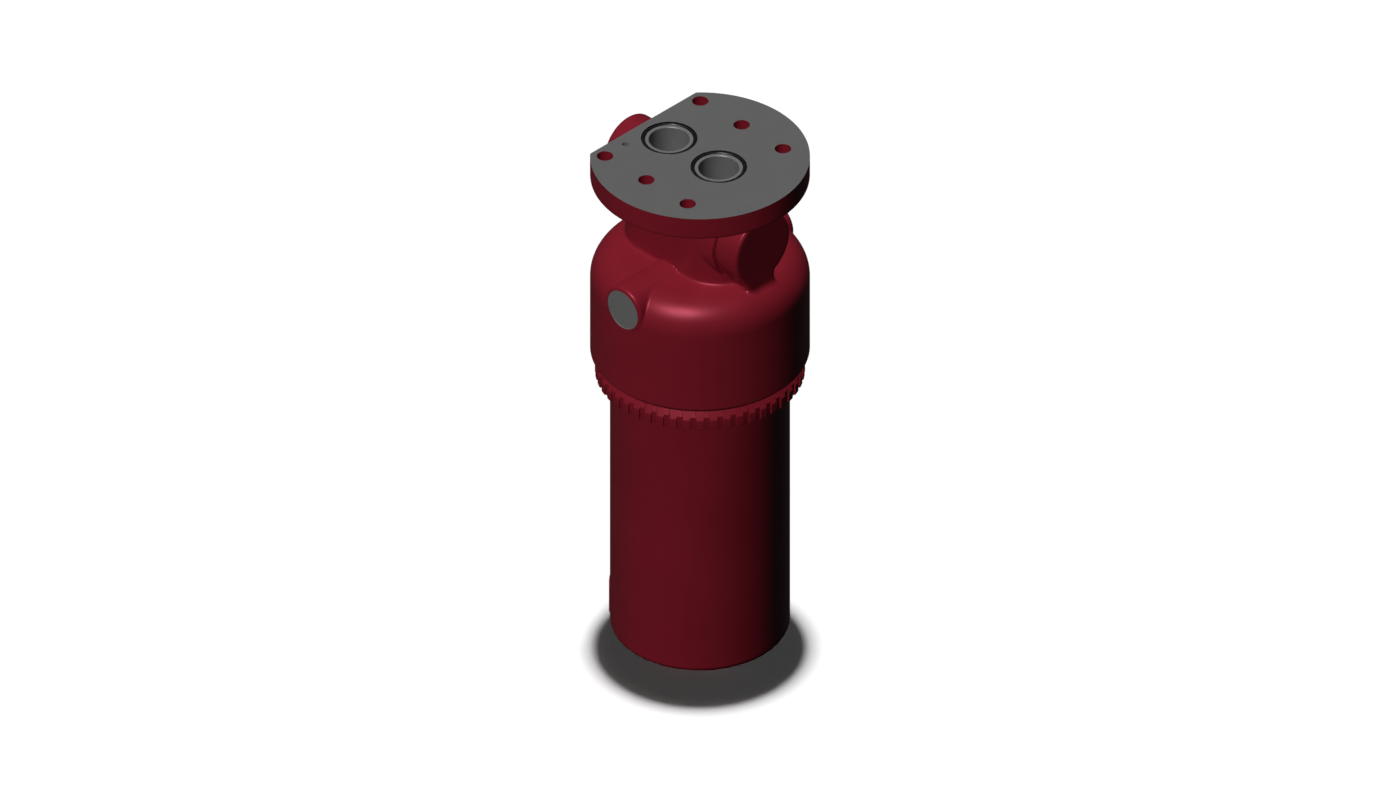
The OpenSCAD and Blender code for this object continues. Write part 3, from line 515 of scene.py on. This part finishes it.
def machineHead(piece):
    p, b, s, v, h = ports, bolts, socket, valve, head
    finished(piece, castRed)
    combine(piece, finished(block("topCut", (-90, -90, 0), (100, 90, 8)), millGrey))
    for side in (-1, 1):
        x = side * h["portGap"]
        combine(piece, finished(rod("portBore", p["radius"], (x, 0, -p["depth"]), (x, 0, over), 128), boreGrey))
        combine(piece, finished(rod("portChamfer", p["radius"] - 1, (x, 0, -p["landDrop"] - p["chamfer"] - 1),
                                    (x, 0, 1 - p["landDrop"]), 128,
                                    endRadius=p["radius"] + p["chamfer"] + 1), boreGrey))
        # the groove's cutter leaves its walls in the painted-shade material
        ring = rod("portGroove", p["grooveIn"] + p["grooveWide"], (x, 0, -p["grooveWide"]), (x, 0, 3), 128)
        combine(ring, rod("portLand", p["grooveIn"], (x, 0, -10), (x, 0, 10), 128))
        combine(piece, finished(ring, paintedGrooveShade))
        combine(piece, finished(rod("landCut", p["grooveIn"] + 0.1, (x, 0, -p["landDrop"]), (x, 0, over), 128),
                                boreGrey))
    for x in (-1, 0, 1):
        for y in (-1, 1):
            combine(piece, finished(rod("boltHole", b["radius"], (x * b["pitch"], y * b["row"], -b["depth"]),
                                        (x * b["pitch"], y * b["row"], over), 64), castRed))
    combine(piece, finished(rod("pinHole", b["pinRadius"], (-b["pitch"], -b["pinY"], -b["pinDepth"]),
                                (-b["pitch"], -b["pinY"], over), 32), boreGrey))

    # bowl socket, with its thread, seal bore, chamber and the spigot left standing
    wall, edge = h["flangeRadius"], h["rimEdge"]
    rimArc = rounded([(wall, h["rim"] + edge + 4, 0), (wall, h["rim"] + edge, 2.4),
                      (wall - edge, h["rim"], 0)])[1:]
    rimArc = [(r, z, 0) for r, z in rimArc]
    outline = rounded([
        (0, h["rim"] - 12, 0), (92, h["rim"] - 12, 0), (92, rimArc[0][1], 0), *rimArc,
        (s["mouth"] + 1.2, h["rim"], 0),
        (s["mouth"], h["rim"] + 1.2, 0), (s["mouth"], s["threadTop"], 0),
        (s["bore"], s["threadTop"] + s["mouth"] - s["bore"], 0), (s["bore"], s["boreTop"], 0),
        (s["chamber"], s["boreTop"], 0), (s["chamber"], s["roof"], s["chamberEdge"]),
        (s["spigot"], s["roof"], 0), (s["spigot"], s["spigotEnd"], 0), (0, s["spigotEnd"], 0)])
    tool = turned("bowlSocket", outline, 192, cuts=[(h["rim"] + 1.2, s["threadTop"], 102)])
    cutThread(tool, s["mouth"], s["threadDepth"], h["rim"] + 1.2, s["threadTop"], s["pitch"])
    combine(piece, finished(tool, threadGrey))
    for face in piece.data.polygons:  # the rim's rounded edge keeps its paint
        c = face.center / mm
        if c.z < h["rim"] + 6 and hypot(c.x - bodyAxis, c.y) > s["mouth"] + 1.2:
            face.material_index = 0

    # passages
    near, deep = (h["portGap"], 0, -h["bossDepth"]), (p["dropX"], 0, -h["bossDepth"])
    turn, middle = (-h["portGap"], 0, -p["lean"]), (bodyAxis, 0, -p["leanEnd"])
    under = -p["depth"] + 0.1
    tools = [rod("inletDown", p["passage"], near, (h["portGap"], 0, under)),
             ball("inletBend", p["passage"] + p["bulge"], near),
             rod("gallery", p["gallery"], near, deep),
             ball("galleryBend", p["gallery"] + p["bulge"], deep),
             rod("drop", p["drop"], deep, (p["dropX"], 0, p["dropEnd"])),
             rod("outletDown", p["passage"], turn, (-h["portGap"], 0, under)),
             ball("outletBend", p["passage"] + p["bulge"], turn),
             rod("lean", p["outlet"], turn, middle),
             ball("spigotBend", p["outlet"] + p["bulge"], middle),
             rod("spigotBore", p["outlet"], (bodyAxis, 0, p["spigotLow"]), middle)]
    for tool in tools:
        combine(piece, finished(tool, coredGrey))
    d = h["valveDepth"]
    for name, radius, near, far in (("valveBore", v["bore"], -v["seatIn"], beyond),
                                    ("seatBore", v["seatBore"], h["portGap"], 0),
                                    ("plugBore", v["plugBore"], -v["plugIn"], beyond)):
        combine(piece, finished(rod(name, radius, (near, 0, -d), (far, 0, -d)), boreGrey))

    # a skim cut leaves the indicator faces bare
    for side in (-1, 1):
        start, end = side * (h["faceReach"] - 0.03), side * (h["faceReach"] + over)
        combine(piece, finished(rod("skimCut", h["faceRadius"] - h["faceEdge"],
                                    (bodyAxis, start, -h["faceDepth"]), (bodyAxis, end, -h["faceDepth"]), 128),
                                faceGrey))
    print("head machined,", len(piece.data.polygons), "faces")


headPiece = castHead()
machineHead(headPiece)
smooth(headPiece, 32)
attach(headPiece, "head")
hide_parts("filter_head")


bowl = dict(radius=65.5, inner=56.5, base=-414.5, floor=-400.5, baseEdge=5, floorEdge=12, collarRadius=76.5,
            collarTop=-173.8, collarTopRadius=70.5, teethTop=-182.4, collarLow=-190.9,
            teeth=48, gapWide=4.5, gapDeep=1.4, toothEdge=0.45,
            relief=66, threadRadius=69, threadLow=-170.5, threadTop=-149.5, land=65, landLow=-145.5,
            grooveLow=-138.5, groove=60.7, grooveTop=-132.1, top=-119.5, topBevel=2,
            hexFlats=36, foot=-437.5, drainBore=9.8, drainSeat=-432.4, drainThread=7.05, drainHole=4)


def screwBowl():
    b, s = bowl, socket
    outline = rounded([
        (0, b["base"], 0), (b["radius"], b["base"], b["baseEdge"]), (b["radius"], b["collarLow"], 1.2),
        (b["collarRadius"], b["collarLow"], 0.8), (b["collarRadius"], b["teethTop"], 1.8),
        (b["collarTopRadius"], b["collarTop"], 0), (b["relief"], b["collarTop"], 0),
        (b["relief"], b["threadLow"], 0), (b["threadRadius"], b["threadLow"], 0),
        (b["threadRadius"], b["threadTop"], 0), (b["land"], b["landLow"], 0),
        (b["land"], b["grooveLow"], 0), (b["groove"], b["grooveLow"], 0), (b["groove"], b["grooveTop"], 0),
        (b["land"], b["grooveTop"], 0), (b["land"], b["top"] - b["topBevel"], 0),
        (b["land"] - b["topBevel"], b["top"], 0), (b["inner"] + 0.8, b["top"], 0),
        (b["inner"], b["top"] - 0.8, 0),
        (b["inner"], b["floor"], b["floorEdge"]), (0, b["floor"], 0)], 6)
    piece = finished(turned("screwBowl", outline, 192, cuts=[(b["threadLow"], b["threadTop"], 84)]), bowlRed)
    cutThread(piece, b["threadRadius"], s["threadDepth"], b["threadLow"], b["threadTop"], s["pitch"])

    # one gap's cutter is made, then copied round the collar
    gap = block("gapCutter", (b["collarRadius"] - b["gapDeep"], -b["gapWide"] / 2, b["collarLow"] - 1),
                (b["collarRadius"] + 2, b["gapWide"] / 2, b["collarTop"] + 1))
    gaps = []
    for i in range(b["teeth"]):
        copy = gap.copy()
        copy.data = gap.data.copy()
        bpy.context.collection.objects.link(copy)
        copy.rotation_euler = (0, 0, radians(-45 + (i + 0.5) * 360 / b["teeth"]))
        copy.location = (bodyAxis * mm, 0, 0)
        gaps.append(copy)
    bpy.data.objects.remove(gap)
    combine(piece, finished(merged(gaps, "toothGaps"), bowlRed))

    # edges of the teeth are softened as a painted casting's are
    mesh = piece.data
    for vert in mesh.vertices:
        vert.select = False
    for face in mesh.polygons:
        face.select = False
    normals = {}
    for face in mesh.polygons:
        for key in face.edge_keys:
            normals.setdefault(key, []).append(face.normal)
    chosen = 0
    for edge in mesh.edges:
        edge.select = False
        a, c = (mesh.vertices[i].co / mm for i in edge.vertices)
        near = min(hypot(a.x - bodyAxis, a.y), hypot(c.x - bodyAxis, c.y))
        if near > b["collarRadius"] - b["gapDeep"] - 0.05 and max(a.z, c.z) < b["collarTop"] - 0.5:
            pair = normals.get(tuple(sorted(edge.vertices)), [])
            if len(pair) == 2 and pair[0].angle(pair[1]) > radians(35):
                edge.select = True
                chosen += 1
    bpy.ops.object.mode_set(mode="EDIT")
    bpy.ops.mesh.select_mode(type="EDGE")
    bpy.ops.mesh.bevel(offset=b["toothEdge"] * mm, segments=2, affect="EDGES", clamp_overlap=True)
    bpy.ops.object.mode_set(mode="OBJECT")
    print("collar edges softened:", chosen)

    # hexagon with its lower corners turned off
    corner = b["hexFlats"] / 2 / cos(radians(30))
    startClean()
    bpy.ops.mesh.primitive_cylinder_add(vertices=6, radius=corner * mm, depth=(b["base"] - b["foot"] + 2) * mm,
                                        location=(bodyAxis * mm, 0, (b["base"] + b["foot"] + 2) / 2 * mm),
                                        rotation=(0, 0, radians(30)))
    hexagon = settle("hexagon")
    rise = (corner + 0.5 - b["hexFlats"] / 2) * tan(radians(30))
    combine(hexagon, turned("hexCone", [(0, b["foot"] - 1), (b["hexFlats"] / 2 - 0.6, b["foot"] - 1),
                                        (b["hexFlats"] / 2, b["foot"]), (corner + 0.5, b["foot"] + rise),
                                        (corner + 0.5, b["base"] + 4), (0, b["base"] + 4)], 96), "INTERSECT")
    bottomCut = block("footCut", (-40, -40, b["foot"] - 5), (60, 40, b["foot"]))
    combine(hexagon, bottomCut)
    combine(piece, finished(hexagon, bowlRed), "UNION")
    for name, radius, low, high in (("drainMouth", b["drainBore"], b["foot"] - 2, b["drainSeat"]),
                                    ("drainThread", b["drainThread"], b["drainSeat"] - 1, b["drainSeat"] + 12),
                                    ("drainHole", b["drainHole"], b["drainSeat"], b["floor"] + 2)):
        combine(piece, finished(rod(name, radius, (bodyAxis, 0, low), (bodyAxis, 0, high), 64), drainZinc))
    return piece


bowlPiece = screwBowl()

# the thread, the seal land and the inside are bare metal, and the paint stops at the collar's top
bowlPiece.data.materials.append(threadGrey)
bare = len(bowlPiece.data.materials) - 1
for face in bowlPiece.data.polygons:
    c = face.center / mm
    off = hypot(c.x - bodyAxis, c.y)
    if c.z > bowl["collarTop"] - 0.05 or (off < bowl["inner"] + 0.1 and c.z > bowl["floor"] - 0.5):
        face.material_index = bare
smooth(bowlPiece, 32)
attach(bowlPiece, "bowl")
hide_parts("filter_bowl")
print("bowl done,", len(bowlPiece.data.polygons), "faces")


plug = dict(start=57.3, pocketFloor=62.3, seat=69.8, end=73.8, thread=11, collar=14, pocket=7.7, sleeve=4.2,
            sleeveStart=54.3, stemBore=2.6, stemEnd=66.3, flats=10, socketDeep=5)


def valvePlug():
    v = plug
    outline = [(0, v["stemEnd"]), (v["stemBore"], v["stemEnd"]), (v["stemBore"], v["sleeveStart"]),
               (v["sleeve"], v["sleeveStart"]), (v["sleeve"], v["pocketFloor"]), (v["pocket"], v["pocketFloor"]),
               (v["pocket"], v["start"]), (v["thread"] - 0.8, v["start"]), (v["thread"], v["start"] + 0.8),
               (v["thread"], v["seat"] - 1.6), (v["thread"] - 0.8, v["seat"] - 1.4), (v["thread"] - 0.8, v["seat"]),
               (v["collar"] - 0.3, v["seat"]), (v["collar"], v["seat"] + 0.3), (v["collar"], v["end"] - 0.9),
               (v["collar"] - 0.35, v["end"] - 0.3), (v["collar"] - 0.9, v["end"]), (0, v["end"])]
    piece = finished(turned("valvePlug", outline, 96, (0, 0, -head["valveDepth"]), (-1, 0, 0)), plugZinc)
    startClean()
    corner = v["flats"] / 2 / cos(radians(30))
    middle = (-(v["end"] - v["socketDeep"] / 2 + 1) * mm, 0, -head["valveDepth"] * mm)
    bpy.ops.mesh.primitive_cylinder_add(vertices=6, radius=corner * mm, depth=(v["socketDeep"] + 2) * mm,
                                        location=middle, rotation=(0, radians(90), 0))
    combine(piece, finished(settle("plugSocket"), plugZinc))
    combine(piece, finished(rod("plugSocketLip", corner - 0.6, (-v["end"] + 0.9, 0, -head["valveDepth"]),
                                (-v["end"] - 0.5, 0, -head["valveDepth"]), 48, endRadius=corner + 0.8), plugZinc))
    smooth(piece, 30)
    return piece


plugPiece = valvePlug()
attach(plugPiece, "head")
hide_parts("bypass_plug")

drain = dict(seat=-433.9, end=-436.9, top=-420.7, thread=7, collar=9.5, flats=6, socketDeep=3)


def drainScrew():
    d = drain
    outline = [(0, d["end"]), (d["collar"] - 0.6, d["end"]), (d["collar"], d["end"] + 0.6),
               (d["collar"], d["seat"] - 0.2), (d["collar"] - 0.2, d["seat"]), (d["thread"] - 0.6, d["seat"]),
               (d["thread"] - 0.6, d["seat"] + 1.4), (d["thread"], d["seat"] + 2),
               (d["thread"], d["top"] - 0.8), (d["thread"] - 0.8, d["top"]), (0, d["top"])]
    piece = finished(turned("drainScrew", outline, 64), drainZinc)
    startClean()
    corner = d["flats"] / 2 / cos(radians(30))
    bpy.ops.mesh.primitive_cylinder_add(vertices=6, radius=corner * mm, depth=(d["socketDeep"] + 2) * mm,
                                        location=(bodyAxis * mm, 0, (d["end"] + d["socketDeep"] / 2 - 1) * mm))
    combine(piece, finished(settle("drainSocket"), drainZinc))
    smooth(piece, 30)
    return piece


drainPiece = drainScrew()
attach(drainPiece, "bowl")
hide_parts("drain_plug")

plate = dict(inner=65.55, outer=66.25, low=-404.0, high=-379.5, first=179, last=229, corner=2.0)


def typePlate():
    # a flat blank is cut to shape, then wrapped round the bowl
    t = plate
    middle, length = radians((t["first"] + t["last"]) / 2), radians(t["last"] - t["first"]) * t["outer"]
    startClean()
    bpy.ops.mesh.primitive_cube_add(size=1, location=(0, 0, 0),
                                    scale=(length * mm, (t["outer"] - t["inner"]) * mm,
                                           (t["high"] - t["low"]) * mm))
    piece = settle("typePlate")
    bpy.ops.object.mode_set(mode="EDIT")
    bpy.ops.mesh.select_mode(type="EDGE")
    bpy.ops.mesh.select_all(action="DESELECT")
    bpy.ops.object.mode_set(mode="OBJECT")
    for edge in piece.data.edges:
        a, c = (piece.data.vertices[i].co for i in edge.vertices)
        edge.select = abs(a.y - c.y) > 0.0001
    bpy.ops.object.mode_set(mode="EDIT")
    bpy.ops.mesh.bevel(offset=t["corner"] * mm, segments=6, affect="EDGES")
    bpy.ops.object.mode_set(mode="OBJECT")
    for k in range(-23, 24):
        bpy.ops.object.mode_set(mode="EDIT")
        bpy.ops.mesh.select_all(action="SELECT")
        bpy.ops.mesh.bisect(plane_co=(k * length / 48 * mm, 0, 0), plane_no=(1, 0, 0))
        bpy.ops.object.mode_set(mode="OBJECT")
    for vert in piece.data.vertices:
        radius = (t["inner"] if vert.co.y > 0 else t["outer"]) * mm
        angle = middle + vert.co.x / (t["outer"] * mm)
        height = vert.co.z + (t["low"] + t["high"]) / 2 * mm
        vert.co = (bodyAxis * mm + radius * cos(angle), radius * sin(angle), height)
    bpy.ops.object.mode_set(mode="EDIT")
    bpy.ops.mesh.select_all(action="SELECT")
    bpy.ops.mesh.remove_doubles(threshold=0.000001)
    bpy.ops.mesh.normals_make_consistent(inside=False)
    bpy.ops.object.mode_set(mode="OBJECT")
    finished(piece, plateRed)
    smooth(piece, 30)
    return piece


platePiece = typePlate()
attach(platePiece, "bowl")
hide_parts("type_plate")
print("plugs and plate done")

for node, material in dict(
        inlet_port_o_ring=portRubber, outlet_port_o_ring=portRubber, bowl_o_ring=portRubber,
        element_o_ring=portRubber, bowl_backup_ring=backupIvory, drain_plug_seal=washerCopper,
        bypass_plug_seal=washerCopper, element_top_cap=tinSheet, element_bottom_cap=tinSheet,
        element_core_tube=tinSheet, element_outer_wrap=tinSheet,
        element_pleats=media, bypass_seat=valveSteel, bypass_poppet=valveSteel,
        bypass_spring=springSteel).items():
    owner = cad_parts[node]
    if not owner.material_slots:
        owner.data.materials.append(material)
    for slot in owner.material_slots:
        slot.material = material


stand = dict(floor=-0.4375, azimuth=45.0, elevation=35.264, width=1.01822, aim=(0.0062, 0.0, -0.2184),
             keyAzimuth=13.5, keyElevation=47.0, key=2.98, shineAzimuth=17.0, shineElevation=58.0, shine=5.6,
             backAzimuth=215.0, backElevation=60.0, back=1.8,
             above=3.2, low=0.13, ambient=0.003, mirrored=0.015)


def towards(azimuth, elevation):
    a, e = radians(azimuth), radians(elevation)
    return Vector((sin(a) * cos(e), -cos(a) * cos(e), sin(e)))


def backdropShare(nodes, links):
    # the camera and transmission see the backdrop white, and what mirrors sees it strongly dimmed
    path = nodes.new("ShaderNodeLightPath")
    clear = computed(nodes, links, "MAXIMUM", path.outputs["Is Camera Ray"], path.outputs["Is Transmission Ray"])
    return computed(nodes, links, "MAXIMUM", clear,
                computed(nodes, links, "MULTIPLY", path.outputs["Is Glossy Ray"], stand["mirrored"]))


startClean()
bpy.ops.mesh.primitive_plane_add(size=8, location=(0, 0, stand["floor"]))
floorPiece = settle("floor")
floorMat, nodes, links, shader = newMaterial("paleFloor", 0.9)
shader.inputs["Base Color"].default_value = (0.96, 0.96, 0.96, 1)
shader.inputs["Specular IOR Level"].default_value = 0.0
dark = nodes.new("ShaderNodeBsdfDiffuse")
dark.inputs["Color"].default_value = (0.01, 0.01, 0.01, 1)
seen = backdropShare(nodes, links)
mix = nodes.new("ShaderNodeMixShader")
links.new(seen, mix.inputs["Fac"])
links.new(dark.outputs["BSDF"], mix.inputs[1])
links.new(shader.outputs["BSDF"], mix.inputs[2])
links.new(mix.outputs["Shader"], nodes["Material Output"].inputs["Surface"])
floorPiece.data.materials.append(floorMat)

world = bpy.data.worlds.new("studio")
bpy.context.scene.world = world
world.use_nodes = True
wNodes, wLinks = world.node_tree.nodes, world.node_tree.links
seen = backdropShare(wNodes, wLinks)
strength = wNodes.new("ShaderNodeMapRange")
strength.inputs["To Min"].default_value = stand["ambient"]
strength.inputs["To Max"].default_value = 1.0
wLinks.new(seen, strength.inputs["Value"])
wNodes["Background"].inputs["Color"].default_value = (1, 1, 1, 1)
wLinks.new(strength.outputs["Result"], wNodes["Background"].inputs["Strength"])


def sun(name, azimuth, elevation, power, spread, shadow=True, glossy=True, diffuse=True):
    startClean()
    direction = towards(azimuth, elevation)
    bpy.ops.object.light_add(type="SUN", location=direction * 3)
    lamp = bpy.context.object
    lamp.name = name
    lamp.rotation_euler = direction.to_track_quat("Z", "Y").to_euler()
    lamp.data.energy = power
    lamp.data.angle = radians(spread)
    lamp.data.use_shadow = shadow
    lamp.visible_glossy = glossy
    lamp.visible_diffuse = diffuse
    return lamp


keyLamp = sun("keyLamp", stand["keyAzimuth"], stand["keyElevation"], stand["key"], 12, shadow=False,
              glossy=False)
shineLamp = sun("shineLamp", stand["shineAzimuth"], stand["shineElevation"], stand["shine"], 26, shadow=False,
                diffuse=False)
backLamp = sun("backLamp", stand["backAzimuth"], stand["backElevation"], stand["back"], 30, shadow=False,
               glossy=False)
aboveLamp = sun("aboveLamp", 0, 90, stand["above"], 2.8)
lowLamp = sun("lowLamp", 0, 90, stand["low"], 2.8, shadow=False)

# the floor is lit from straight above alone, and the object by the other three lamps
floorSet = bpy.data.collections.new("floorSet")
floorSet.objects.link(floorPiece)
objectSet = bpy.data.collections.new("objectSet")
objectSet.objects.link(floorPiece)
objectSet.collection_objects[0].light_linking.link_state = "EXCLUDE"
for lamp in (aboveLamp, lowLamp):
    lamp.light_linking.receiver_collection = floorSet
for lamp in (keyLamp, shineLamp, backLamp):
    lamp.light_linking.receiver_collection = objectSet

startClean()
direction = towards(stand["azimuth"], stand["elevation"])
bpy.ops.object.camera_add(location=Vector(stand["aim"]) + direction * 3,
                          rotation=(radians(90 - stand["elevation"]), 0, radians(stand["azimuth"])))
camera = bpy.context.object
camera.name = "camera"
camera.data.type = "ORTHO"
camera.data.ortho_scale = stand["width"]
camera.data.clip_end = 20
bpy.context.scene.camera = camera
bpy.context.scene.view_settings.view_transform = "Standard"

startClean()
print("scene ready")
